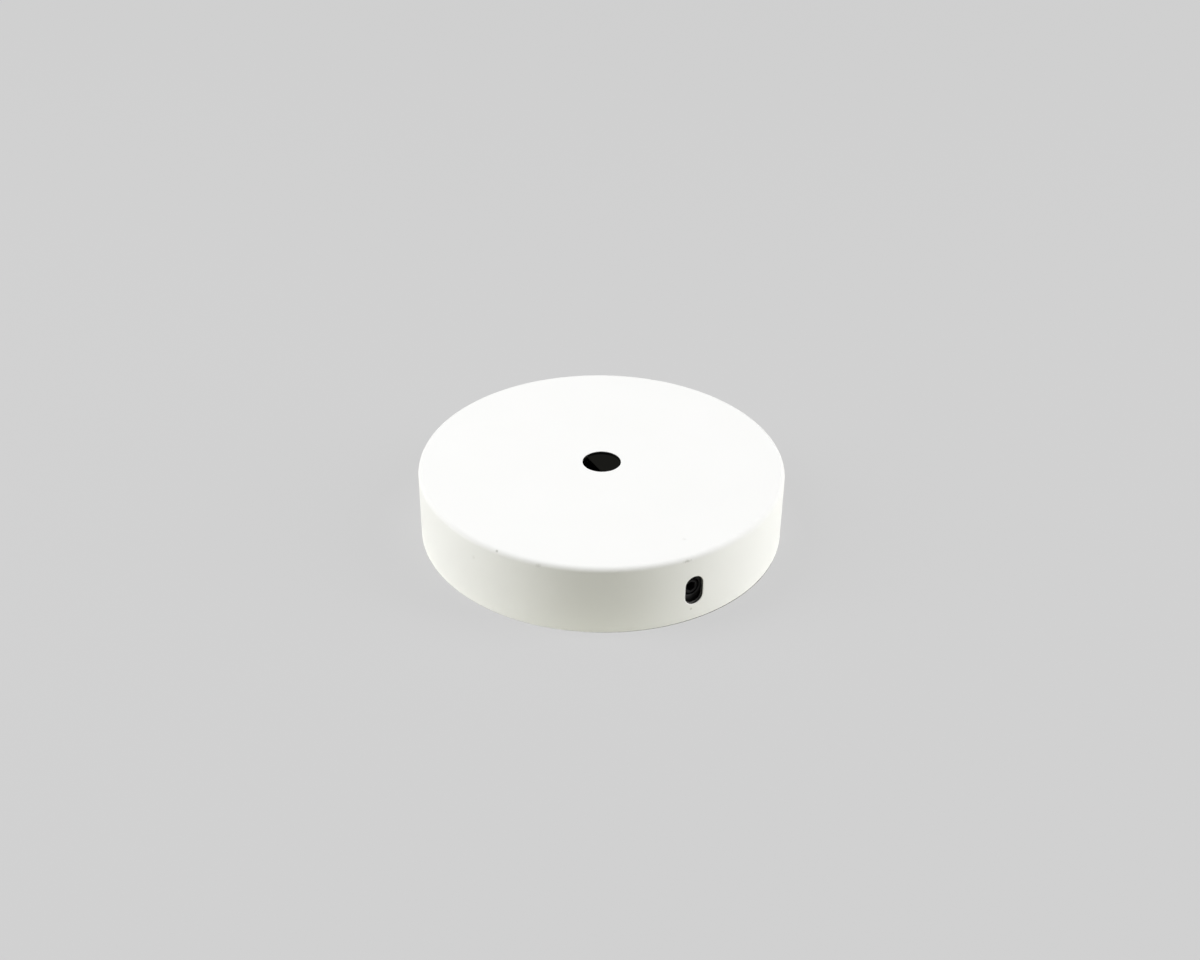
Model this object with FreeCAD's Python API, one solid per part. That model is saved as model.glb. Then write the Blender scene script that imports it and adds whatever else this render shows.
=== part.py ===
import FreeCAD, Part
import math
import os

# An electrical ceiling rose. A white steel cup stands, open side down, over a folded steel bracket.
# The ceiling is the plane z = 0, the room is towards +Z, and the cup's two slots lie on the X axis.
# All sizes are in millimetres.

# Cup, drawn from steel sheet
cup_diameter = 80.0
cup_height = 16.0
sheet_thickness = 0.8
face_edge_inner_radius = 0.3
rim_flat = 0.2
cable_hole_diameter = 8.4
pierced_edge_bevel = 0.15

# Slots in the cup's wall, one in front of each locking screw
slot_side_clearance = 0.05
slot_adjustment = 2.7
slot_below_middle = 0.6

# Locking screws, headless with a hexagon socket, wound back until they are flush with the ears
locking_screw_diameter = 4.0
locking_screw_length = 6.0
locking_screw_chamfer = 0.5
socket_across_flats = 2.0
socket_depth = 2.5
socket_point_angle = 120.0

# Bracket, folded from steel strap
strap_thickness = 1.5
wiring_hole_diameter = 12.0
strap_side_land = 3.0
bend_inner_radius = 1.0
ear_clearance = 0.3
ear_side_land = 2.3
shoulder_length = 6.0
shoulder_radius = 3.0
thread_clearance = 0.05
collar_wall = 1.15
ear_collar_length = 1.5

# Slots in the strap for the two ceiling screws
ceiling_screw_diameter = 4.0
ceiling_screw_clearance = 0.25
ceiling_slot_adjustment = 7.5
ceiling_slot_end_land = 4.61

# Earth terminal, on a lug at the side of the strap
lug_side_land = 1.0
lug_neck = 0.5
lug_root_radius = 3.0
earth_collar_length = 2.0
earth_screw_diameter = 4.0
earth_screw_end_gap = 0.3
earth_screw_chamfer = 0.4
earth_head_diameter = 7.0
earth_head_height = 2.6
earth_head_bevel = 0.4
driver_slot_width = 1.2
driver_slot_depth = 1.1
earth_washer_diameter = 9.0
earth_washer_thickness = 0.8
earth_washer_clearance = 0.15

# Places worked out from those sizes
cup_radius = cup_diameter / 2
cup_inner_radius = cup_radius - sheet_thickness
face_edge_radius = face_edge_inner_radius + sheet_thickness
slot_height = cup_height / 2 - slot_below_middle
slot_width = locking_screw_diameter + 2 * slot_side_clearance
tapped_diameter = locking_screw_diameter + 2 * thread_clearance
ear_collar_diameter = tapped_diameter + 2 * collar_wall
ear_width = ear_collar_diameter + 2 * ear_side_land
ear_outer_x = math.sqrt(cup_inner_radius**2 - (ear_width / 2) ** 2) - ear_clearance
ear_inner_x = ear_outer_x - strap_thickness
bend_start_x = ear_inner_x - bend_inner_radius
strap_width = wiring_hole_diameter + 2 * strap_side_land
ceiling_slot_width = ceiling_screw_diameter + 2 * ceiling_screw_clearance
ceiling_slot_length = ceiling_slot_width + ceiling_slot_adjustment
ceiling_slot_x = bend_start_x - ceiling_slot_end_land - ceiling_slot_length / 2
lug_width = earth_washer_diameter + 2 * lug_side_land
earth_y = -(strap_width / 2 + lug_root_radius + lug_neck)
earth_tapped_diameter = earth_screw_diameter + 2 * thread_clearance
earth_collar_diameter = earth_tapped_diameter + 2 * collar_wall
earth_seat_z = strap_thickness + earth_collar_length
earth_head_z = earth_seat_z + earth_washer_thickness

ORIGIN = FreeCAD.Vector(0, 0, 0)
X_AXIS = FreeCAD.Vector(1, 0, 0)
Y_AXIS = FreeCAD.Vector(0, 1, 0)
Z_AXIS = FreeCAD.Vector(0, 0, 1)
NEGLIGIBLE = 1e-6


def upright(x, z):
    """Point of the XZ plane."""
    return FreeCAD.Vector(x, 0, z)


def flat(x, y):
    """Point of the ceiling plane."""
    return FreeCAD.Vector(x, y, 0)


def outlined_face(corners):
    """Face inside a closed outline, given as (corner point, radius that rounds it) in order."""
    edges = []
    arcs = []
    for index, (corner, radius) in enumerate(corners):
        to_last = (corners[index - 1][0] - corner).normalize()
        to_next = (corners[(index + 1) % len(corners)][0] - corner).normalize()
        half_angle = to_last.getAngle(to_next) / 2
        reach = radius / math.tan(half_angle)
        centre = corner + (to_last + to_next).normalize() * (radius / math.sin(half_angle))
        middle = centre + (corner - centre).normalize() * radius if radius > 0 else corner
        arcs.append((corner + to_last * reach, middle, corner + to_next * reach, radius))
    for index, (start, middle, end, radius) in enumerate(arcs):
        last_end = arcs[index - 1][2]
        if (start - last_end).Length > NEGLIGIBLE:
            edges.append(Part.LineSegment(last_end, start).toShape())
        if radius > 0:
            edges.append(Part.Arc(start, middle, end).toShape())
    return Part.Face(Part.Wire(edges))


def revolved(corners):
    """Solid of revolution about Z of an outline drawn in the XZ plane."""
    return outlined_face(corners).revolve(ORIGIN, Z_AXIS, 360)


def obround(centre, along, width, straight, depth):
    """Slot cutter: round ends of the given width, straight apart, pushed along depth from its centre."""
    side = along.cross(depth).normalize() * (width / 2)
    end = along * ((straight + width) / 2)
    half = width / 2
    corners = [(centre + end + side, half), (centre - end + side, half)]
    corners += [(centre - end - side, half), (centre + end - side, half)]
    return outlined_face(corners).extrude(depth)


def make_cup():
    """Flat face, rounded edge and straight wall in one pressing, with a pierced hole and two slots."""
    hole_radius = cable_hole_diameter / 2
    under_face = cup_height - sheet_thickness
    rim_bevel = (sheet_thickness - rim_flat) / 2
    # The inner corner under the face's rounded edge is a bevel as wide as its radius
    cup = revolved(
        [
            (upright(hole_radius, under_face), 0),
            (upright(hole_radius, cup_height - pierced_edge_bevel), 0),
            (upright(hole_radius + pierced_edge_bevel, cup_height), 0),
            (upright(cup_radius, cup_height), face_edge_radius),
            (upright(cup_radius, rim_bevel), 0),
            (upright(cup_radius - rim_bevel, 0), 0),
            (upright(cup_inner_radius + rim_bevel, 0), 0),
            (upright(cup_inner_radius, rim_bevel), 0),
            (upright(cup_inner_radius, under_face - face_edge_inner_radius), 0),
            (upright(cup_inner_radius - face_edge_inner_radius, under_face), 0),
        ]
    )
    # A quarter turn takes the seam of the revolved wall clear of the slots
    cup.rotate(ORIGIN, Z_AXIS, 90)
    outside_wall = upright(-cup_diameter, slot_height)
    right_through = X_AXIS * (2 * cup_diameter)
    return cup.cut(obround(outside_wall, Z_AXIS, slot_width, slot_adjustment, right_through))


def make_bracket():
    """Strap that lies on the ceiling, with its narrowed ends folded up into ears with tapped collars."""
    outer_bend_radius = bend_inner_radius + strap_thickness
    ear_top = slot_height + ear_width / 2
    folded_section = outlined_face(
        [
            (upright(-ear_outer_x, ear_top), 0),
            (upright(-ear_outer_x, 0), outer_bend_radius),
            (upright(ear_outer_x, 0), outer_bend_radius),
            (upright(ear_outer_x, ear_top), 0),
            (upright(ear_inner_x, ear_top), 0),
            (upright(ear_inner_x, strap_thickness), bend_inner_radius),
            (upright(-ear_inner_x, strap_thickness), bend_inner_radius),
            (upright(-ear_inner_x, ear_top), 0),
        ]
    )
    half_width = max(strap_width / 2, ear_width / 2, lug_width / 2 - earth_y)
    folded = folded_section.extrude(Y_AXIS * (2 * half_width))
    folded.translate(Y_AXIS * -half_width)

    # Plan of the strap: ears' width at the ends, shoulders, full width, and the earth lug on one side
    shoulder_x = bend_start_x - shoulder_length
    lug_end_y = earth_y - lug_width / 2
    plan = outlined_face(
        [
            (flat(-ear_outer_x, -ear_width / 2), 0),
            (flat(-bend_start_x, -ear_width / 2), shoulder_radius),
            (flat(-shoulder_x, -strap_width / 2), shoulder_radius),
            (flat(-lug_width / 2, -strap_width / 2), lug_root_radius),
            (flat(-lug_width / 2, lug_end_y), lug_width / 2),
            (flat(lug_width / 2, lug_end_y), lug_width / 2),
            (flat(lug_width / 2, -strap_width / 2), lug_root_radius),
            (flat(shoulder_x, -strap_width / 2), shoulder_radius),
            (flat(bend_start_x, -ear_width / 2), shoulder_radius),
            (flat(ear_outer_x, -ear_width / 2), 0),
            (flat(ear_outer_x, ear_width / 2), 0),
            (flat(bend_start_x, ear_width / 2), shoulder_radius),
            (flat(shoulder_x, strap_width / 2), shoulder_radius),
            (flat(-shoulder_x, strap_width / 2), shoulder_radius),
            (flat(-bend_start_x, ear_width / 2), shoulder_radius),
            (flat(-ear_outer_x, ear_width / 2), 0),
        ]
    ).extrude(Z_AXIS * ear_top)

    # Front of the ears: straight up to the tapped hole, then round about it
    box_corner = FreeCAD.Vector(-ear_outer_x, -half_width, 0)
    ear_front = Part.makeBox(2 * ear_outer_x, 2 * half_width, slot_height, box_corner)
    ear_round = Part.makeCylinder(ear_width / 2, 2 * ear_outer_x, upright(-ear_outer_x, slot_height), X_AXIS)
    bracket = folded.common(plan).common(ear_front.fuse(ear_round).removeSplitter())

    for side in (1, -1):
        inward = X_AXIS * -side
        ear_middle = upright(side * (ear_inner_x + strap_thickness / 2), slot_height)
        collar_length = ear_collar_length + strap_thickness / 2
        bracket = bracket.fuse(Part.makeCylinder(ear_collar_diameter / 2, collar_length, ear_middle, inward))
    earth_foot = flat(0, earth_y)
    bracket = bracket.fuse(Part.makeCylinder(earth_collar_diameter / 2, earth_seat_z, earth_foot))

    holes = [
        Part.makeCylinder(tapped_diameter / 2, 2 * ear_outer_x, upright(-ear_outer_x, slot_height), X_AXIS),
        Part.makeCylinder(wiring_hole_diameter / 2, strap_thickness, ORIGIN),
        Part.makeCylinder(earth_tapped_diameter / 2, earth_seat_z, earth_foot),
    ]
    for side in (1, -1):
        slot_centre = flat(side * ceiling_slot_x, 0)
        through_strap = Z_AXIS * strap_thickness
        holes.append(obround(slot_centre, X_AXIS, ceiling_slot_width, ceiling_slot_adjustment, through_strap))
    return bracket.cut(holes).removeSplitter()


def make_locking_screw(side):
    """Headless screw in one ear, with the socket at its outer end. side is 1 on the right, -1 on the left."""
    radius = locking_screw_diameter / 2
    length = locking_screw_length
    inner_end = radius - locking_screw_chamfer
    screw = revolved(
        [
            (upright(0, 0), 0),
            (upright(inner_end, 0), 0),
            (upright(radius, locking_screw_chamfer), 0),
            (upright(radius, length - locking_screw_chamfer), 0),
            (upright(inner_end, length), 0),
            (upright(0, length), 0),
        ]
    )
    corner_radius = socket_across_flats / 2 / math.cos(math.radians(30))
    corners = []
    for turn in range(0, 360, 60):
        angle = math.radians(turn)
        corner = FreeCAD.Vector(corner_radius * math.cos(angle), corner_radius * math.sin(angle), length)
        corners.append((corner, 0))
    socket = outlined_face(corners).extrude(Z_AXIS * -socket_depth)
    point_radius = socket_across_flats / 2
    point_depth = point_radius / math.tan(math.radians(socket_point_angle / 2))
    point = Part.makeCone(point_radius, 0, point_depth, FreeCAD.Vector(0, 0, length - socket_depth), -Z_AXIS)
    screw = screw.cut([socket, point])
    screw.translate(Z_AXIS * (ear_outer_x - length))
    screw.rotate(ORIGIN, Y_AXIS, 90 * side)
    screw.translate(Z_AXIS * slot_height)
    return screw


def make_earth_screw():
    """Slotted cheese head screw that clamps the earth wire under its washer."""
    radius = earth_screw_diameter / 2
    head_radius = earth_head_diameter / 2
    head_top = earth_head_z + earth_head_height
    screw = revolved(
        [
            (upright(0, earth_screw_end_gap), 0),
            (upright(radius - earth_screw_chamfer, earth_screw_end_gap), 0),
            (upright(radius, earth_screw_end_gap + earth_screw_chamfer), 0),
            (upright(radius, earth_head_z), 0),
            (upright(head_radius, earth_head_z), 0),
            (upright(head_radius, head_top - earth_head_bevel), 0),
            (upright(head_radius - earth_head_bevel, head_top), 0),
            (upright(0, head_top), 0),
        ]
    )
    slot_corner = FreeCAD.Vector(-head_radius, -driver_slot_width / 2, head_top - driver_slot_depth)
    screw = screw.cut(Part.makeBox(2 * head_radius, driver_slot_width, driver_slot_depth, slot_corner))
    screw.translate(Y_AXIS * earth_y)
    return screw


def make_earth_washer():
    """Plain washer on the earth collar."""
    hole_radius = earth_screw_diameter / 2 + earth_washer_clearance
    outer_radius = earth_washer_diameter / 2
    washer = revolved(
        [
            (upright(hole_radius, earth_seat_z), 0),
            (upright(outer_radius, earth_seat_z), 0),
            (upright(outer_radius, earth_head_z), 0),
            (upright(hole_radius, earth_head_z), 0),
        ]
    )
    washer.translate(Y_AXIS * earth_y)
    return washer


nodes = {
    "cup": make_cup(),
    "fixing_bracket": make_bracket(),
    "locking_screw_right": make_locking_screw(1),
    "locking_screw_left": make_locking_screw(-1),
    "earth_screw": make_earth_screw(),
    "earth_washer": make_earth_washer(),
}

os.makedirs("parts", exist_ok=True)
for node, shape in nodes.items():
    shape.exportStep(f"parts/{node}.step")
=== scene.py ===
import math
import bmesh
import bpy
from mathutils import Matrix, Vector


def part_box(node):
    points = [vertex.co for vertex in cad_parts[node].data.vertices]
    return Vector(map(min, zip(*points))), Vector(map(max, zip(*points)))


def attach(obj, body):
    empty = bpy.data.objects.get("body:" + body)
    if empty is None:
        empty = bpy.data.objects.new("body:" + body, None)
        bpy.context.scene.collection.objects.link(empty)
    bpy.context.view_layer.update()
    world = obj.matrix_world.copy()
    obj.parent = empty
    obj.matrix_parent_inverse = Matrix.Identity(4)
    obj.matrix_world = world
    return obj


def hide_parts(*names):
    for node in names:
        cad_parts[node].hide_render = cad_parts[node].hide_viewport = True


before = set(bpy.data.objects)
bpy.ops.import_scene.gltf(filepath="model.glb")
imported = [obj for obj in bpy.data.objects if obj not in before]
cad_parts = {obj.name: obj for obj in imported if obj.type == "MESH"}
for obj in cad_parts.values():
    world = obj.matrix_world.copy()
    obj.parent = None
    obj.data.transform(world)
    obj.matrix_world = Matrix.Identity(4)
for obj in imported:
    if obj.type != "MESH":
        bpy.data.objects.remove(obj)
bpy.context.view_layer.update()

# Fixing bracket
# A strap of 1.5 mm steel, blanked, folded up at both ends into ears with tapped collars, and plated black.
# It screws flat to the ceiling through its two slots, and everything else hangs on it.
BLANKED_EDGE = 0.00015
SHARP_ANGLE = math.radians(35)
FLAT_ANGLE = math.radians(0.5)
SAME_POINT = 0.000002
PLATE_DARK = (0.013, 0.013, 0.013, 1)
PLATE_PALE = (0.028, 0.028, 0.029, 1)


class Wire:
    """One socket of a node tree. Arithmetic on wires adds Math nodes to their tree."""

    def __init__(self, socket):
        self.socket = socket

    @classmethod
    def node(cls, tree, kind, settings=None, sockets=None):
        """Adds a node: its settings first, then a value or a wire for each of its sockets.

        Gives its outputs as wires, by identifier.
        """
        made = tree.nodes.new(kind)
        for name, value in (settings or {}).items():
            setattr(made, name, value)
        by_identifier = {socket.identifier: socket for socket in made.inputs}
        for name, value in (sockets or {}).items():
            target = by_identifier[name] if name in by_identifier else made.inputs[name]
            if isinstance(value, Wire):
                tree.links.new(value.socket, target)
            else:
                target.default_value = value
        return {socket.identifier: cls(socket) for socket in made.outputs}

    def maths(self, operation, *operands):
        tree = self.socket.id_data
        settings = {"operation": operation}
        return Wire.node(tree, "ShaderNodeMath", settings, dict(enumerate(operands)))["Value"]

    def __add__(self, other):
        return self.maths("ADD", self, other)

    __radd__ = __add__

    def __sub__(self, other):
        return self.maths("SUBTRACT", self, other)

    def __rsub__(self, other):
        return self.maths("SUBTRACT", other, self)

    def __mul__(self, other):
        return self.maths("MULTIPLY", self, other)

    __rmul__ = __mul__

    def __truediv__(self, other):
        return self.maths("DIVIDE", self, other)

    def __mod__(self, other):
        return self.maths("FLOORED_MODULO", self, other)

    def __abs__(self):
        return self.maths("ABSOLUTE", self)

    def clamp(self, low, high):
        return self.maths("MINIMUM", self.maths("MAXIMUM", self, low), high)


def empty_material(name):
    material = bpy.data.materials.new(name)
    material.use_nodes = True
    material.node_tree.nodes.clear()
    return material, material.node_tree


def object_coordinates(tree):
    return Wire.node(tree, "ShaderNodeTexCoord")["Object"]


def noise(tree, place, scale, detail=2.0):
    """Cloudy pattern from 0 to 1, about 0.5 in the middle. scale is in patches per metre."""
    sockets = {"Vector": place, "Scale": scale, "Detail": detail}
    return Wire.node(tree, "ShaderNodeTexNoise", None, sockets)["Fac"]


def mixed_colour(tree, amount, first, second):
    sockets = {"Factor_Float": amount, "A_Color": first, "B_Color": second}
    return Wire.node(tree, "ShaderNodeMix", {"data_type": "RGBA"}, sockets)["Result_Color"]


def bump(tree, height, distance):
    """Normal of a surface raised by up to distance, in metres, where height is 1."""
    return Wire.node(tree, "ShaderNodeBump", None, {"Height": height, "Distance": distance})["Normal"]


def surfaced(tree, sockets):
    """Ends a material in one shader with the given sockets."""
    shader = Wire.node(tree, "ShaderNodeBsdfPrincipled", None, sockets)["BSDF"]
    Wire.node(tree, "ShaderNodeOutputMaterial", None, {"Surface": shader})


def black_plate_material():
    material, tree = empty_material("black_plate")
    place = object_coordinates(tree)
    blotches = noise(tree, place, scale=180.0, detail=4.0)
    grain = noise(tree, place, scale=3200.0)
    surfaced(
        tree,
        {
            "Base Color": mixed_colour(tree, blotches, PLATE_DARK, PLATE_PALE),
            "Metallic": 0.0,
            "Roughness": 0.34 + 0.22 * blotches,
            "Specular IOR Level": 0.25,
            "Normal": bump(tree, grain, distance=0.000015),
        },
    )
    return material


def shown_piece(name, mesh, smooth_degrees):
    """Object at the origin for a finished mesh, smooth across edges up to smooth_degrees."""
    mesh.shade_smooth()
    mesh.set_sharp_from_angle(angle=math.radians(smooth_degrees))
    piece = bpy.data.objects.new(name, mesh)
    bpy.context.scene.collection.objects.link(piece)
    return piece


def softened_copy(node):
    """Copy of a CAD node's mesh, its triangles joined into whole faces and its sharp edges broken."""
    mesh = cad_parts[node].data.copy()
    surface = bmesh.new()
    surface.from_mesh(mesh)
    bmesh.ops.remove_doubles(surface, verts=surface.verts, dist=SAME_POINT)
    bmesh.ops.dissolve_limit(surface, angle_limit=FLAT_ANGLE, verts=surface.verts, edges=surface.edges)
    sharp = [edge for edge in surface.edges if edge.calc_face_angle(0.0) > SHARP_ANGLE]
    bmesh.ops.bevel(
        surface,
        geom=sharp,
        offset=BLANKED_EDGE,
        segments=2,
        profile=0.5,
        affect="EDGES",
        clamp_overlap=True,
    )
    surface.to_mesh(mesh)
    surface.free()
    return mesh


bracket_mesh = softened_copy("fixing_bracket")
bracket_mesh.materials.clear()
bracket_mesh.materials.append(black_plate_material())
bracket = shown_piece("bracket_strap", bracket_mesh, smooth_degrees=40)
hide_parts("fixing_bracket")
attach(bracket, "root")

# Locking screws
# Headless steel screws with a hexagon socket, turned, threaded and blackened. They sit in the ears of
# the bracket, and a key through the cup's slots winds them outwards to hold the cup.
SCREW_SEGMENTS = 48
THREAD_RADIUS = 0.002
THREAD_PITCH = 0.0007
THREAD_DEPTH = 0.0004
THREAD_STEEPNESS = 1.35
THREAD_ROWS_PER_TURN = 10
EAR_HOLE_HEIGHT = 0.0074
LOCKING_SCREW_LENGTH = 0.006
LOCKING_SCREW_CHAMFER = 0.0005
INNER_END_RING = 0.0001
OUTER_END_RING = 0.00012
SOCKET_SIDES = 6
SOCKET_HALF_WIDTH = 0.001
SOCKET_DEPTH = 0.0025
SOCKET_LEAD = 0.00008
SOCKET_POINT = 0.00058
SEAM_GAP = 0.000001
OXIDE_DARK = (0.008, 0.008, 0.0085, 1)
OXIDE_PALE = (0.018, 0.0175, 0.018, 1)


def thread_rows(start, end):
    """Rows of the section along a thread, close enough to show each turn."""
    count = round((end - start) / THREAD_PITCH * THREAD_ROWS_PER_TURN)
    return [(THREAD_RADIUS, start + (end - start) * row / count, 1, 0) for row in range(count + 1)]


def locking_screw_section():
    """Half section as (r, z, thread, hex), from the middle of the inner end to the bottom of the socket.

    thread is 1 where the thread cuts in, and hex is 1 where the socket makes the section six-sided.
    """
    length, chamfer = LOCKING_SCREW_LENGTH, LOCKING_SCREW_CHAMFER
    end_radius = THREAD_RADIUS - chamfer
    floor_level = length - SOCKET_DEPTH
    return [
        (0.0, 0.0, 0, 0),
        (end_radius - INNER_END_RING, 0.0, 0, 0),
        (end_radius, 0.0, 1, 0),
        (end_radius + chamfer / 2, chamfer / 2, 1, 0),
        *thread_rows(chamfer, length - chamfer),
        (end_radius + chamfer / 2, length - chamfer / 2, 1, 0),
        (end_radius, length, 1, 0),
        (end_radius - OUTER_END_RING, length, 0, 0),
        (SOCKET_HALF_WIDTH + SOCKET_LEAD, length, 0, 1),
        (SOCKET_HALF_WIDTH, length - SOCKET_LEAD, 0, 1),
        (SOCKET_HALF_WIDTH, floor_level, 0, 1),
        (0.0, floor_level - SOCKET_POINT, 0, 0),
    ]


def section_object(name, section, names):
    """Object whose points are a section in the XZ plane.

    The values that follow r and z in each row become attributes of the points, under the given names.
    """
    mesh = bpy.data.meshes.new(name)
    mesh.from_pydata([(row[0], 0, row[1]) for row in section], [], [])
    for column, attribute_name in enumerate(names, start=2):
        attribute = mesh.attributes.new(attribute_name, "FLOAT", "POINT")
        attribute.data.foreach_set("value", [float(row[column]) for row in section])
    holder = bpy.data.objects.new(name, mesh)
    bpy.context.scene.collection.objects.link(holder)
    return holder


def new_tree(name, sizes):
    """Geometry tree with a named input for each size. Gives the tree and its inputs as wires."""
    tree = bpy.data.node_groups.new(name, "GeometryNodeTree")
    tree.interface.new_socket("Geometry", in_out="INPUT", socket_type="NodeSocketGeometry")
    tree.interface.new_socket("Geometry", in_out="OUTPUT", socket_type="NodeSocketGeometry")
    tree.interface.new_socket("Material", in_out="INPUT", socket_type="NodeSocketMaterial")
    for size in sizes:
        tree.interface.new_socket(size, in_out="INPUT", socket_type="NodeSocketFloat")
    entry = Wire.node(tree, "NodeGroupInput")
    return tree, {wire.socket.name: wire for wire in entry.values() if wire.socket.name}


def close_tree(tree, inputs, geometry):
    """Ends a tree: instances made real, then the material."""
    real = Wire.node(tree, "GeometryNodeRealizeInstances", None, {"Geometry": geometry})["Geometry"]
    sockets = {"Geometry": real, "Material": inputs["Material"]}
    done = Wire.node(tree, "GeometryNodeSetMaterial", None, sockets)["Geometry"]
    Wire.node(tree, "NodeGroupOutput", None, {0: done})


def run_tree(holder, tree, material, sizes):
    """Mesh that a tree makes of an object, with its sizes set by name. The object is used up."""
    modifier = holder.modifiers.new(tree.name, "NODES")
    modifier.node_group = tree
    settings = {**sizes, "Material": material}
    for item in tree.interface.items_tree:
        if item.in_out == "INPUT" and item.name in settings:
            modifier[item.identifier] = settings[item.name]
    holder.update_tag()
    graph = bpy.context.evaluated_depsgraph_get()
    mesh = bpy.data.meshes.new_from_object(holder.evaluated_get(graph))
    holder.modifiers.remove(modifier)
    bpy.data.objects.remove(holder)
    return mesh


def point(tree, x, y, z):
    return Wire.node(tree, "ShaderNodeCombineXYZ", None, {"X": x, "Y": y, "Z": z})["Vector"]


def grid_of(tree, columns, rows):
    """Flat grid of points, with the column and the row of each as fields."""
    sockets = {"Vertices X": columns, "Vertices Y": rows}
    mesh = Wire.node(tree, "GeometryNodeMeshGrid", None, sockets)["Mesh"]
    index = Wire.node(tree, "GeometryNodeInputIndex")["Index"]
    column = index.maths("FLOOR", index / rows)
    return mesh, column, index - column * rows


def named_value(tree, name):
    settings = {"data_type": "FLOAT"}
    return Wire.node(tree, "GeometryNodeInputNamedAttribute", settings, {"Name": name})["Attribute"]


def sampled(tree, section, name, station):
    """Value of a named attribute of the section's points, at a station along it."""
    sockets = {"Geometry": section, "Value": named_value(tree, name), "Index": station}
    return Wire.node(tree, "GeometryNodeSampleIndex", {"data_type": "FLOAT"}, sockets)["Value"]


def turned(tree, section, segments, ends):
    """Grid that turns a section round Z. Gives it, and as fields the station, segment, r, z and angle.

    ends is 1 where the section closes on itself, and 0 where it starts and stops on the axis.
    """
    size = Wire.node(tree, "GeometryNodeAttributeDomainSize", None, {"Geometry": section})["Point Count"]
    mesh, column, row = grid_of(tree, size + ends, segments + 1)
    station = column % size
    where = Wire.node(tree, "GeometryNodeInputPosition")["Position"]
    sockets = {"Geometry": section, "Value": where, "Index": station}
    place = Wire.node(tree, "GeometryNodeSampleIndex", {"data_type": "FLOAT_VECTOR"}, sockets)["Value"]
    axes = Wire.node(tree, "ShaderNodeSeparateXYZ", None, {"Vector": place})
    return mesh, station, row, axes["X"], axes["Z"], row * (math.tau / segments)


def placed(tree, mesh, position):
    sockets = {"Geometry": mesh, "Position": position}
    return Wire.node(tree, "GeometryNodeSetPosition", None, sockets)["Geometry"]


def merged(tree, mesh):
    """Joins points that lie on each other, which closes seams and poles."""
    sockets = {"Geometry": mesh, "Distance": SEAM_GAP}
    return Wire.node(tree, "GeometryNodeMergeByDistance", None, sockets)["Geometry"]


def faced_outwards(mesh):
    """Turns every face of a closed mesh outwards."""
    surface = bmesh.new()
    surface.from_mesh(mesh)
    bmesh.ops.recalc_face_normals(surface, faces=surface.faces)
    surface.to_mesh(mesh)
    surface.free()
    return mesh


def screw_tree(name, slotted):
    """Turns a half section into a screw with a thread and a hexagon socket, or a slot across its head."""
    sizes = ["Thread Radius", "Thread Pitch", "Thread Depth"]
    if slotted:
        sizes += ["Head Top", "Slot Width", "Slot Depth", "Slot Length"]
    tree, inputs = new_tree(name, sizes)
    section = inputs["Geometry"]
    mesh, station, _, r, z, angle = turned(tree, section, SCREW_SEGMENTS, ends=0)

    # The groove winds round once in each pitch. Its flanks are steepened, so crest and root are flat
    ridge = abs((z / inputs["Thread Pitch"] - angle / math.tau) % 1 * 2 - 1)
    groove = (ridge * THREAD_STEEPNESS - (THREAD_STEEPNESS - 1) / 2).clamp(0.0, 1.0)
    threaded = r.maths("MINIMUM", r, inputs["Thread Radius"] - inputs["Thread Depth"] * groove)
    side_angle = math.tau / SOCKET_SIDES
    off_middle = angle % side_angle - side_angle / 2
    flat_sided = r / off_middle.maths("COSINE", off_middle)
    thread = sampled(tree, section, "thread", station)
    socket = sampled(tree, section, "hex", station)
    radius = r + (threaded - r) * thread + (flat_sided - r) * socket
    place = point(tree, radius * angle.maths("COSINE", angle), radius * angle.maths("SINE", angle), z)
    body = merged(tree, placed(tree, mesh, place))
    if slotted:
        size = point(tree, inputs["Slot Length"], inputs["Slot Width"], inputs["Slot Depth"] * 2)
        block = Wire.node(tree, "GeometryNodeMeshCube", None, {"Size": size})["Mesh"]
        sockets = {"Geometry": block, "Translation": point(tree, 0.0, 0.0, inputs["Head Top"])}
        cutter = Wire.node(tree, "GeometryNodeTransform", None, sockets)["Geometry"]
        settings = {"operation": "DIFFERENCE", "solver": "EXACT"}
        sockets = {"Mesh 1": body, "Mesh 2": cutter}
        body = Wire.node(tree, "GeometryNodeMeshBoolean", settings, sockets)["Mesh"]
    close_tree(tree, inputs, body)
    return tree


def black_oxide_material():
    material, tree = empty_material("black_oxide")
    place = object_coordinates(tree)
    stain = noise(tree, place, scale=700.0, detail=3.0)
    surfaced(
        tree,
        {
            "Base Color": mixed_colour(tree, stain, OXIDE_DARK, OXIDE_PALE),
            "Metallic": 0.0,
            "Roughness": 0.34 + 0.20 * stain,
            "Specular IOR Level": 0.2,
            "Normal": bump(tree, stain, distance=0.000008),
        },
    )
    return material


locking_screw_tree = screw_tree("socket_screw", slotted=False)
locking_screw_finish = black_oxide_material()
thread_sizes = {"Thread Radius": THREAD_RADIUS, "Thread Pitch": THREAD_PITCH, "Thread Depth": THREAD_DEPTH}
for side, node in ((1, "locking_screw_right"), (-1, "locking_screw_left")):
    blank = section_object("locking_screw_blank", locking_screw_section(), ["thread", "hex"])
    screw_mesh = run_tree(blank, locking_screw_tree, locking_screw_finish, thread_sizes)
    low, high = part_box(node)
    inner_end = low.x if side > 0 else high.x
    outwards = Matrix.Rotation(side * math.pi / 2, 4, "Y")
    screw_mesh.transform(Matrix.Translation((inner_end, 0.0, EAR_HOLE_HEIGHT)) @ outwards)
    screw = shown_piece(node + "_threaded", faced_outwards(screw_mesh), smooth_degrees=35)
    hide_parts(node)
    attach(screw, "root")

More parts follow.
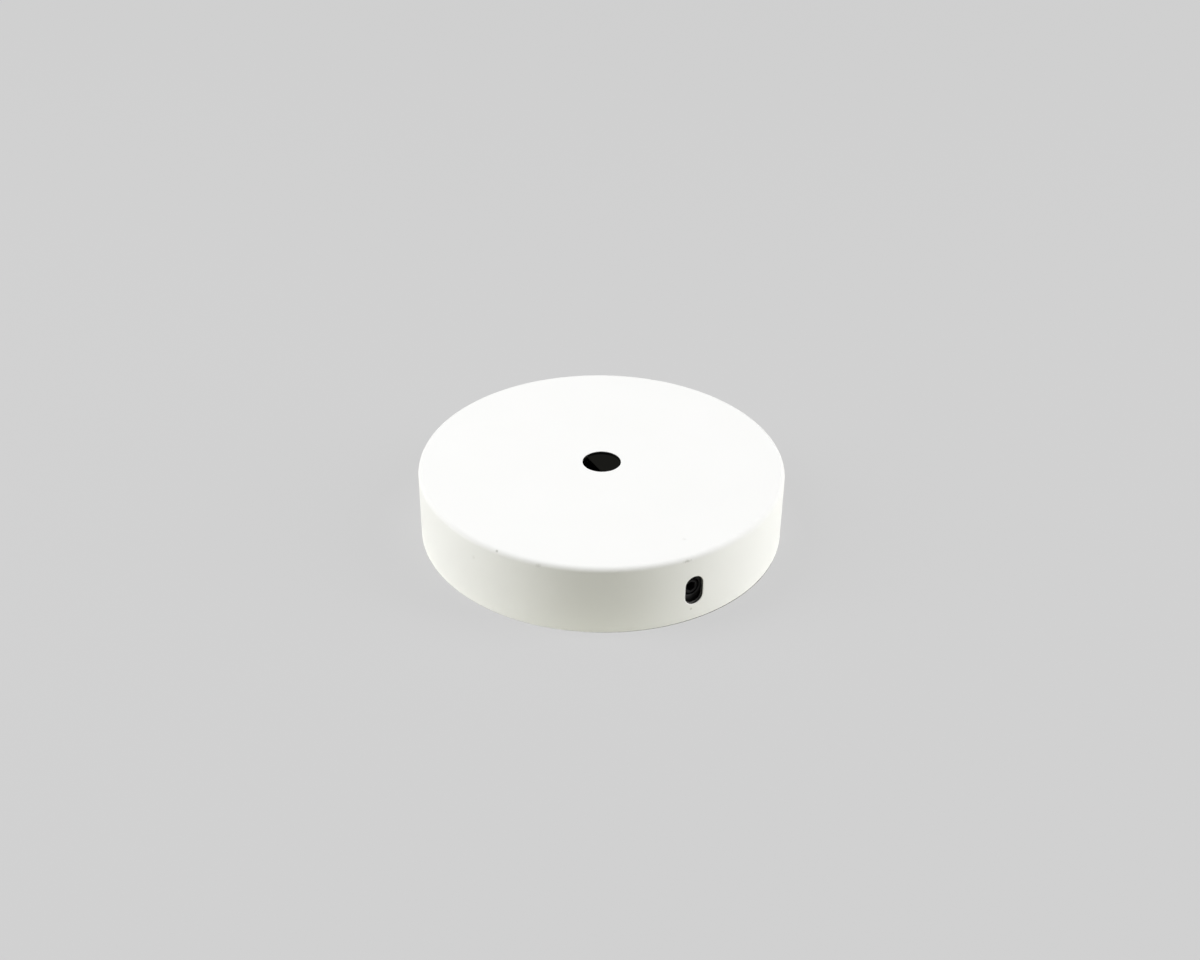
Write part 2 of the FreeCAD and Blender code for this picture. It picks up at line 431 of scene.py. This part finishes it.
# Earth washer
# A stamped brass washer under the head of the earth screw. It lies on the collar of the bracket's lug
# and presses the earth wire's loop flat.
WASHER_RADIUS = 0.0045
WASHER_HOLE_RADIUS = 0.00215
WASHER_ROLLOVER = 0.00015
EARTH_PLACE = Vector((0.0, -0.0125, 0.0))
BRASS_BRIGHT = (0.76, 0.57, 0.27, 1)
BRASS_DULL = (0.60, 0.42, 0.19, 1)
washer_low, washer_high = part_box("earth_washer")


def arc(centre_r, centre_z, radius, start, end, steps):
    """Points (r, z) along part of a circle in the section, from start to end degrees."""
    points = []
    for step in range(steps + 1):
        angle = math.radians(start + (end - start) * step / steps)
        points.append((centre_r + radius * math.cos(angle), centre_z + radius * math.sin(angle)))
    return points


def washer_section():
    """Closed section as (r, z), with the edges rounded on the side that the punch came from."""
    bottom, top, roll = washer_low.z, washer_high.z, WASHER_ROLLOVER
    outline = [(WASHER_HOLE_RADIUS, bottom), (WASHER_RADIUS, bottom)]
    outline += arc(WASHER_RADIUS - roll, top - roll, roll, 0, 90, steps=4)
    outline += arc(WASHER_HOLE_RADIUS + roll, top - roll, roll, 90, 180, steps=4)
    return outline


def washer_tree():
    """Turns the closed section into a ring."""
    tree, inputs = new_tree("stamped_washer", [])
    mesh, _, _, r, z, angle = turned(tree, inputs["Geometry"], SCREW_SEGMENTS, ends=1)
    place = point(tree, r * angle.maths("COSINE", angle), r * angle.maths("SINE", angle), z)
    close_tree(tree, inputs, merged(tree, placed(tree, mesh, place)))
    return tree


def shifted(tree, place, middle):
    settings = {"operation": "SUBTRACT"}
    return Wire.node(tree, "ShaderNodeVectorMath", settings, {0: place, 1: middle})["Vector"]


def brass_material(name, axis):
    """Turned brass: fine rings round the given axis, and patches where it has dulled."""
    material, tree = empty_material(name)
    place = object_coordinates(tree)
    dulled = noise(tree, place, scale=420.0, detail=4.0)
    settings = {"wave_type": "RINGS", "rings_direction": "Z"}
    sockets = {"Vector": shifted(tree, place, axis), "Scale": 2600.0, "Distortion": 0.6}
    rings = Wire.node(tree, "ShaderNodeTexWave", settings, sockets)["Fac"]
    surfaced(
        tree,
        {
            "Base Color": mixed_colour(tree, dulled, BRASS_BRIGHT, BRASS_DULL),
            "Metallic": 1.0,
            "Roughness": 0.22 + 0.22 * dulled,
            "Normal": bump(tree, rings, distance=0.000006),
        },
    )
    return material


brass = brass_material("brass", EARTH_PLACE)
washer_blank = section_object("washer_blank", washer_section(), [])
washer_mesh = run_tree(washer_blank, washer_tree(), brass, {})
washer_mesh.transform(Matrix.Translation(EARTH_PLACE))
washer = shown_piece("earth_washer_stamped", faced_outwards(washer_mesh), smooth_degrees=35)
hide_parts("earth_washer")
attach(washer, "root")

# Earth screw
# A turned brass cheese-head screw with a driver slot. Its thread goes down into the collar of the
# bracket's lug, and it clamps the earth wire under the washer.
EARTH_HEAD_RADIUS = 0.0035
EARTH_HEAD_EDGE = 0.0004
EARTH_SCREW_CHAMFER = 0.0004
EARTH_SLOT_WIDTH = 0.0012
EARTH_SLOT_DEPTH = 0.0011
earth_low, earth_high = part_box("earth_screw")


def earth_screw_section():
    """Half section as (r, z, thread, hex), from the middle of the thread's end to that of the head."""
    end, seat, top = earth_low.z, washer_high.z, earth_high.z
    edge = EARTH_HEAD_EDGE
    section = [(0.0, end, 0, 0), (THREAD_RADIUS - EARTH_SCREW_CHAMFER, end, 1, 0)]
    section += thread_rows(end + EARTH_SCREW_CHAMFER, seat - THREAD_PITCH / 2)
    section += [(THREAD_RADIUS - THREAD_DEPTH, seat, 0, 0), (EARTH_HEAD_RADIUS, seat, 0, 0)]
    rounding = arc(EARTH_HEAD_RADIUS - edge, top - edge, edge, 0, 90, steps=6)
    section += [(r, z, 0, 0) for r, z in rounding]
    return section + [(0.0, top, 0, 0)]


# The slot's cutter is half as long again as the head is wide, so that it cuts right across
earth_sizes = {
    **thread_sizes,
    "Head Top": earth_high.z,
    "Slot Width": EARTH_SLOT_WIDTH,
    "Slot Depth": EARTH_SLOT_DEPTH,
    "Slot Length": EARTH_HEAD_RADIUS * 3,
}
earth_blank = section_object("earth_screw_blank", earth_screw_section(), ["thread", "hex"])
earth_mesh = run_tree(earth_blank, screw_tree("slotted_screw", slotted=True), brass, earth_sizes)
earth_mesh.transform(Matrix.Translation(EARTH_PLACE))
earth_screw = shown_piece("earth_screw_slotted", faced_outwards(earth_mesh), smooth_degrees=35)
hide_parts("earth_screw")
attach(earth_screw, "root")

# Cup
# One pressing of 0.8 mm steel sheet: a flat face, a rounded edge and a straight wall, coated white.
# The cable hole and the two slots are pierced through, and the bracket's locking screws hold it on.
cup_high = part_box("cup")[1]
CUP_RADIUS = cup_high.x
CUP_HEIGHT = cup_high.z
CUP_SHEET = 0.0008
CUP_EDGE_RADIUS = 0.0011
CUP_RIM_RADIUS = 0.0003
CABLE_HOLE_RADIUS = 0.0042
ROLLED_EDGE = 0.00015
SLOT_WIDTH = 0.0041
SLOT_STRAIGHT = 0.0027
SLOT_HEIGHT = EAR_HOLE_HEIGHT

# The cup's mesh: rows down the wall, segments round it, and the part of that grid round each slot
CUP_SEGMENTS = 480
FACE_RINGS = (0.008, 0.013, 0.018, 0.023, 0.028, 0.033)
EDGE_SUPPORT = 0.0003
ROW_STEP = 0.00055
SLOT_COLUMNS = 4
SLOT_ROWS = 6
SLOT_MARGIN = 6
ROLL_STEPS = 4

WHITE_DULL = (0.89, 0.895, 0.872, 1)
WHITE_CLEAR = (0.91, 0.915, 0.895, 1)
PRIMED_DARK = (0.46, 0.46, 0.44, 1)
PRIMED_PALE = (0.54, 0.54, 0.52, 1)
# Painted shade: the pierced edges are bare steel darkened to near-black, standing in for the shade in the
# hole and the slots.
BARE_EDGE_PAINTED_SHADE = (0.012, 0.012, 0.011, 1)
MARK_COLOUR = (0.16, 0.15, 0.10, 1)

# Small marks on the coat, each as its place and its half sizes in millimetres, and how strongly it shows
COAT_MARKS = (
    ((19.8, -34.4, 15.6), (0.40, 0.40, 0.40), 0.50),
    ((27.5, -29.0, 15.2), (0.70, 0.70, 0.50), 0.28),
    ((39.9, -2.0, 15.2), (0.60, 1.20, 0.40), 0.40),
    ((40.0, -0.6, 2.9), (0.35, 0.35, 0.35), 0.45),
    ((14.5, -37.3, 11.6), (0.60, 0.60, 0.60), 0.12),
    ((34.0, 0.8, 16.0), (0.60, 0.60, 0.60), 0.10),
)
MARK_REACH = 1.6
MARK_RAGGEDNESS = 1.2


def cup_section():
    """The cup's closed section as (r, z, coat, wall, row).

    coat says how the sheet is covered there, where 0 is a bare cut edge that the coat material paints
    near-black as painted shade, and wall is 1 on the outer wall's rows and 2 on the inner's.
    """
    coated, thin, bare_painted_shade = 1.0, 0.5, 0.0
    under = CUP_HEIGHT - CUP_SHEET
    inner_radius = CUP_RADIUS - CUP_SHEET
    flat_edge = CUP_RADIUS - CUP_EDGE_RADIUS
    hole_edge = CABLE_HOLE_RADIUS + ROLLED_EDGE
    edge_level = CUP_HEIGHT - CUP_EDGE_RADIUS
    rim = CUP_RIM_RADIUS
    wall_rows = range(SLOT_ROWS + SLOT_MARGIN, -SLOT_ROWS - SLOT_MARGIN - 1, -1)
    section = []

    def run(points, coat):
        section.extend((r, z, coat, 0, 0) for r, z in points)

    def wall_run(r, rows, coat, wall):
        section.extend((r, SLOT_HEIGHT + row * ROW_STEP, coat, wall, row) for row in rows)

    # The cable hole's cut wall gets coat 0, which is painted near-black as shade in the hole.
    run([(CABLE_HOLE_RADIUS, under), (CABLE_HOLE_RADIUS, CUP_HEIGHT - ROLLED_EDGE)], bare_painted_shade)
    run(arc(hole_edge, CUP_HEIGHT - ROLLED_EDGE, ROLLED_EDGE, 150, 90, ROLL_STEPS), coated)
    face_radii = (hole_edge + EDGE_SUPPORT, *FACE_RINGS, flat_edge - EDGE_SUPPORT)
    run([(r, CUP_HEIGHT) for r in face_radii], coated)
    run(arc(flat_edge, edge_level, CUP_EDGE_RADIUS, 90, 0, steps=12), coated)
    wall_run(CUP_RADIUS, wall_rows, coated, wall=1)
    run(arc(CUP_RADIUS - rim, rim, rim, 0, -90, steps=5), coated)
    run(arc(inner_radius + rim, rim, rim, -90, -180, steps=4), thin)
    wall_run(inner_radius, reversed(wall_rows), thin, wall=2)
    run(arc(flat_edge, edge_level, CUP_EDGE_RADIUS - CUP_SHEET, 0, 90, steps=6), thin)
    run([(r, under) for r in (flat_edge - EDGE_SUPPORT, *reversed(FACE_RINGS))], thin)
    return section


def slot_outline(across, up, width, straight, grown):
    """Point of a slot's outline, from a point of the frame round it, whose sides are at -1 and 1.

    grown widens the outline all round.
    """
    radius = width / 2 + grown
    side = across * radius
    rise = up * (straight / 2 + radius)
    spine = rise.maths("MINIMUM", rise.maths("MAXIMUM", rise, straight / -2), straight / 2)
    reach = side.maths("SQRT", side * side + (rise - spine) * (rise - spine))
    return side / reach * radius, spine + (rise - spine) / reach * radius


def labelled(tree, mesh, name, value):
    """Stores a field on the points of a mesh under a name that materials can read."""
    settings = {"data_type": "FLOAT", "domain": "POINT"}
    sockets = {"Geometry": mesh, "Name": name, "Value": value}
    return Wire.node(tree, "GeometryNodeStoreNamedAttribute", settings, sockets)["Geometry"]


def cup_tree():
    """Turns the section into the cup, opens the two slots in its wall and lines them."""
    sizes = ["Slot Width", "Slot Straight", "Slot Height", "Radius", "Sheet", "Rolled Edge"]
    tree, inputs = new_tree("drawn_cup", sizes)
    section = inputs["Geometry"]
    width, straight, roll = inputs["Slot Width"], inputs["Slot Straight"], inputs["Rolled Edge"]
    mesh, station, segment, r, z, angle = turned(tree, section, CUP_SEGMENTS, ends=1)
    wall = sampled(tree, section, "wall", station)
    row = sampled(tree, section, "row", station)
    half_turn = CUP_SEGMENTS / 2
    column = (segment + half_turn / 2) % half_turn - half_turn / 2

    # Round each slot the wall's grid is drawn in to the outline, less and less over the margin
    beyond = column.maths("MAXIMUM", abs(column) - SLOT_COLUMNS, abs(row) - SLOT_ROWS)
    off_wall = wall.maths("LESS_THAN", wall, 0.5)
    beyond = beyond + off_wall * CUP_SEGMENTS
    outside = beyond.maths("MAXIMUM", beyond, 0.0)
    keep = (outside / SLOT_MARGIN).clamp(0.0, 1.0)
    on_outer = wall.maths("COMPARE", wall, 1.0, 0.1)
    across, up = column / (outside + SLOT_COLUMNS), row / (outside + SLOT_ROWS)
    slot_y, slot_z = slot_outline(across, up, width, straight, roll * on_outer)
    local = column * (math.tau / CUP_SEGMENTS)
    old_y = r * local.maths("SINE", local)
    new_y = slot_y + (old_y - slot_y) * keep
    new_z = (slot_z + inputs["Slot Height"]) * (1 - keep) + z * keep
    turned_by = angle - local + new_y.maths("ARCSINE", new_y / r)
    moved = turned_by * (1 - off_wall) + angle * off_wall
    height = new_z * (1 - off_wall) + z * off_wall
    place = point(tree, r * moved.maths("COSINE", moved), r * moved.maths("SINE", moved), height)
    shell = labelled(tree, mesh, "coat", sampled(tree, section, "coat", station))
    shell = placed(tree, labelled(tree, shell, "beyond", beyond), place)
    within = beyond.maths("LESS_THAN", named_value(tree, "beyond"), -0.1)
    sockets = {"Geometry": shell, "Selection": within}
    shell = Wire.node(tree, "GeometryNodeDeleteGeometry", {"domain": "FACE"}, sockets)["Geometry"]

    # Lining of one slot: the rolled outer edge, then straight through the sheet
    quarter = SLOT_COLUMNS + SLOT_ROWS
    lining, along, step = grid_of(tree, 4 * quarter + 1, ROLL_STEPS + 2)
    sideways = abs(along % (4 * quarter) - 2 * quarter) - quarter
    upwards = abs((along + quarter) % (4 * quarter) - 2 * quarter) - quarter
    frame_across = sideways.clamp(-SLOT_COLUMNS, SLOT_COLUMNS) / SLOT_COLUMNS
    frame_up = upwards.clamp(-SLOT_ROWS, SLOT_ROWS) / SLOT_ROWS
    tilt = step.maths("MINIMUM", step, ROLL_STEPS) * (math.pi / 2 / ROLL_STEPS)
    straight_in = (step - ROLL_STEPS).clamp(0.0, 1.0)
    depth = roll * (1 - tilt.maths("COSINE", tilt)) + straight_in * (inputs["Sheet"] - roll)
    flare = roll * (1 - tilt.maths("SINE", tilt))
    edge_y, edge_z = slot_outline(frame_across, frame_up, width, straight, flare)
    edge_r = inputs["Radius"] - depth
    edge_x = edge_r.maths("SQRT", edge_r * edge_r - edge_y * edge_y)
    # Where the lining goes straight through the sheet its coat is 0, painted near-black as shade in the
    # slot.
    lining = labelled(tree, lining, "coat", (ROLL_STEPS - step).clamp(0.0, 1.0))
    lining = placed(tree, lining, point(tree, edge_x, edge_y, edge_z + inputs["Slot Height"]))
    sockets = {"Geometry": lining, "Rotation": (0.0, 0.0, math.pi)}
    opposite = Wire.node(tree, "GeometryNodeTransform", None, sockets)["Geometry"]
    joined = Wire.node(tree, "GeometryNodeJoinGeometry", None, {"Geometry": shell})["Geometry"]
    for part in (lining, opposite):
        tree.links.new(part.socket, joined.socket.node.inputs["Geometry"])
    close_tree(tree, inputs, merged(tree, joined))
    return tree


def marked(tree, place, ragged):
    """Mask of the coat's marks: 0 on the clean coat, more on a mark, with ragged edges."""
    total = 0.0
    for middle, half_sizes, strength in COAT_MARKS:
        offset = shifted(tree, place, [value / 1000 for value in middle])
        stretch = {0: offset, 1: [1000 / value for value in half_sizes]}
        scaled = Wire.node(tree, "ShaderNodeVectorMath", {"operation": "MULTIPLY"}, stretch)["Vector"]
        reach = Wire.node(tree, "ShaderNodeVectorMath", {"operation": "LENGTH"}, {0: scaled})["Value"]
        total = (MARK_REACH - reach - ragged).clamp(0.0, 1.0) * strength + total
    return total


def white_coat_material():
    """White coat outside, thin grey priming inside, and painted shade on the pierced edges (bare steel
    painted near-black), by coat.
    """
    material, tree = empty_material("white_coat")
    place = object_coordinates(tree)
    coat = Wire.node(tree, "ShaderNodeAttribute", {"attribute_name": "coat"})["Fac"]
    clouds = noise(tree, place, scale=60.0, detail=3.0)
    peel = noise(tree, place, scale=1400.0)
    fleck = noise(tree, place, scale=2600.0, detail=3.0)
    clean = mixed_colour(tree, clouds, WHITE_DULL, WHITE_CLEAR)
    white = mixed_colour(tree, marked(tree, place, fleck * MARK_RAGGEDNESS), clean, MARK_COLOUR)
    primed = mixed_colour(tree, clouds, PRIMED_DARK, PRIMED_PALE)
    covered = (coat * 2).clamp(0.0, 1.0)
    # Bare pierced edges are painted near-black as shade.
    inner = mixed_colour(tree, covered, BARE_EDGE_PAINTED_SHADE, primed)
    surfaced(
        tree,
        {
            "Base Color": mixed_colour(tree, (coat * 2 - 1).clamp(0.0, 1.0), inner, white),
            "Metallic": 1 - covered,
            "Roughness": 0.60 + 0.08 * clouds,
            "Specular IOR Level": 0.2,
            "Normal": bump(tree, peel, distance=0.000006),
        },
    )
    return material


cup_sizes = {
    "Slot Width": SLOT_WIDTH,
    "Slot Straight": SLOT_STRAIGHT,
    "Slot Height": SLOT_HEIGHT,
    "Radius": CUP_RADIUS,
    "Sheet": CUP_SHEET,
    "Rolled Edge": ROLLED_EDGE,
}
cup_blank = section_object("cup_blank", cup_section(), ["coat", "wall", "row"])
cup_mesh = run_tree(cup_blank, cup_tree(), white_coat_material(), cup_sizes)
cup = shown_piece("cup_pressing", faced_outwards(cup_mesh), smooth_degrees=40)
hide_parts("cup")
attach(cup, "root")

# Floor
# A wide, plain grey sheet under the rose. The camera sees mostly its own even grey, so it stays plain to
# the picture's edges and still takes a soft shadow. Round the rose's foot it throws more light back.
FLOOR_HALF_WIDTH = 3.0
FLOOR_DROP = 0.00002
FLOOR_COLOUR = (0.632, 0.632, 0.632, 1)
FLOOR_EVENNESS = 0.87
SHADOW_REACH = 0.6
SHADOW_FADE = 0.5
THROWN_BACK_COLOUR = (0.650, 0.650, 0.565, 1)
FOOT_COLOUR = (0.95, 0.95, 0.84, 1)
FOOT_REACH = 0.010
# Painted shade: under the cup the camera sees this near-black instead of the lit floor, standing in for the
# shade inside the cup. Its disc is shifted SHADE_SHIFT towards SHADE_TURN, which paints a thin contact
# shadow under the rim on that side.
UNDER_CUP_PAINTED_SHADE = (0.0105, 0.0105, 0.0092, 1)
SHADE_TURN = 65
SHADE_SHIFT = 0.00025
CAMERA_AZIMUTH = math.radians(61.47)


def from_camera_side(turn, elevation):
    """Direction away from the object, turn degrees to the right of the camera and elevation degrees up."""
    azimuth = CAMERA_AZIMUTH + math.radians(turn)
    rise = math.radians(elevation)
    return Vector((math.sin(azimuth) * math.cos(rise), -math.cos(azimuth) * math.cos(rise), math.sin(rise)))


def seen_directly(tree):
    """1 for what the camera sees, also by reflection or through glass, and 0 for light between surfaces."""
    rays = Wire.node(tree, "ShaderNodeLightPath")
    return (rays["Is Camera Ray"] + rays["Is Glossy Ray"] + rays["Is Transmission Ray"]).clamp(0.0, 1.0)


def distance_from(tree, place, middle):
    settings = {"operation": "DISTANCE"}
    return Wire.node(tree, "ShaderNodeVectorMath", settings, {0: place, 1: middle})["Value"]


def floor_grey_material():
    """Grey sheet with painted shade under the cup. The painted shade reaches out a hair on one side, as a
    painted contact shadow under the rim.

    Its own grey is only there to be seen and lights nothing.
    """
    material, tree = empty_material("floor_grey")
    material.cycles.emission_sampling = "NONE"
    seen = seen_directly(tree)
    place = object_coordinates(tree)
    # The painted shade's disc is moved off the middle, so a thin painted contact shadow shows on one side
    # only.
    shade_middle = from_camera_side(SHADE_TURN, 0) * SHADE_SHIFT
    from_shade = distance_from(tree, place, shade_middle)
    clear_of_cup = from_shade.maths("GREATER_THAN", from_shade, CUP_RADIUS - CUP_RIM_RADIUS)
    from_wall = distance_from(tree, place, (0.0, 0.0, 0.0)) - CUP_RADIUS
    at_foot = (1 - from_wall / FOOT_REACH).clamp(0.0, 1.0)
    thrown_back = mixed_colour(tree, at_foot, THROWN_BACK_COLOUR, FOOT_COLOUR)
    lit_colour = mixed_colour(tree, seen, thrown_back, FLOOR_COLOUR)
    lit = Wire.node(tree, "ShaderNodeBsdfDiffuse", None, {"Color": lit_colour})["BSDF"]
    # What the camera sees: painted shade under the cup, plain grey beyond it.
    shown_colour = mixed_colour(tree, clear_of_cup, UNDER_CUP_PAINTED_SHADE, FLOOR_COLOUR)
    plain = Wire.node(tree, "ShaderNodeEmission", None, {"Color": shown_colour})["Emission"]
    near = ((SHADOW_REACH - from_wall) / SHADOW_FADE).clamp(0.0, 1.0)
    evenness = seen * (1 - clear_of_cup * near * (1 - FLOOR_EVENNESS))
    mix = Wire.node(tree, "ShaderNodeMixShader", None, {0: evenness, 1: lit, 2: plain})["Shader"]
    Wire.node(tree, "ShaderNodeOutputMaterial", None, {"Surface": mix})
    return material


floor_mesh = bpy.data.meshes.new("floor")
floor_corners = [(-1, -1), (1, -1), (1, 1), (-1, 1)]
floor_points = [(x * FLOOR_HALF_WIDTH, y * FLOOR_HALF_WIDTH, -FLOOR_DROP) for x, y in floor_corners]
floor_mesh.from_pydata(floor_points, [], [(0, 1, 2, 3)])
floor_mesh.materials.append(floor_grey_material())
floor = bpy.data.objects.new("floor", floor_mesh)
bpy.context.scene.collection.objects.link(floor)

# Light
# Plain studio light: a tall soft box at each side, a weak one behind, and a dim room that looks as pale
# as the floor. The side that faces the camera gets the least, so the wall darkens towards the front.
BOX_DISTANCE = 1.0
BOX_WIDTH = 0.5
LAMP_COLOUR = (1.008, 1.003, 1.03)
ROOM_LIGHT = (0.100, 0.100, 0.085, 1)
top_centre = Vector((0, 0, CUP_HEIGHT))


def soft_box(name, turn, elevation, height, power):
    """Upright soft box that looks at the object and shows in no picture itself. power is in watts."""
    data = bpy.data.lights.new(name, "AREA")
    data.shape = "RECTANGLE"
    data.size = BOX_WIDTH
    data.size_y = height
    data.energy = power
    data.color = LAMP_COLOUR
    away = from_camera_side(turn, elevation)
    facing = away.to_track_quat("Z", "Y").to_matrix().to_4x4()
    holder = bpy.data.objects.new(name, data)
    holder.matrix_world = Matrix.Translation(top_centre + away * BOX_DISTANCE) @ facing
    holder.visible_camera = False
    bpy.context.scene.collection.objects.link(holder)


soft_box("box_right", turn=87, elevation=24, height=1.2, power=11.1)
soft_box("box_left", turn=-87, elevation=38, height=1.2, power=10.6)
soft_box("box_back", turn=180, elevation=55, height=0.5, power=1.15)
world = bpy.data.worlds.new("room")
world.use_nodes = True
room_tree = world.node_tree
room_tree.nodes.clear()
room_colour = mixed_colour(room_tree, seen_directly(room_tree), ROOM_LIGHT, FLOOR_COLOUR)
room = Wire.node(room_tree, "ShaderNodeBackground", None, {"Color": room_colour})["Background"]
Wire.node(room_tree, "ShaderNodeOutputWorld", None, {"Surface": room})
bpy.context.scene.world = world

# Camera
# It looks at the middle of the face. The lens, the distance and the slight roll follow the photograph.
CAMERA_ELEVATION = math.radians(31.93)
CAMERA_DISTANCE = 0.3322
CAMERA_LENS = 45.47
CAMERA_ROLL = math.radians(0.72)
SENSOR_WIDTH = 36.0
NEAR_LIMIT = 0.01
PICTURE_WIDTH = 1200
PICTURE_HEIGHT = 960
TOP_CENTRE_PIXEL = (601.7, 461.3)
back = from_camera_side(0, math.degrees(CAMERA_ELEVATION))
level_right = Vector((math.cos(CAMERA_AZIMUTH), math.sin(CAMERA_AZIMUTH), 0))
level_up = back.cross(level_right)
right = level_right * math.cos(CAMERA_ROLL) + level_up * math.sin(CAMERA_ROLL)
up = level_up * math.cos(CAMERA_ROLL) - level_right * math.sin(CAMERA_ROLL)
camera_data = bpy.data.cameras.new("camera")
camera_data.lens = CAMERA_LENS
camera_data.sensor_width = SENSOR_WIDTH
camera_data.shift_x = (PICTURE_WIDTH / 2 - TOP_CENTRE_PIXEL[0]) / PICTURE_WIDTH
camera_data.shift_y = (TOP_CENTRE_PIXEL[1] - PICTURE_HEIGHT / 2) / PICTURE_WIDTH
camera_data.clip_start = NEAR_LIMIT
camera = bpy.data.objects.new("camera", camera_data)
camera_turn = Matrix((right, up, back)).transposed().to_4x4()
camera.matrix_world = Matrix.Translation(top_centre + back * CAMERA_DISTANCE) @ camera_turn
bpy.context.scene.collection.objects.link(camera)
bpy.context.scene.camera = camera
bpy.context.scene.view_settings.view_transform = "Standard"
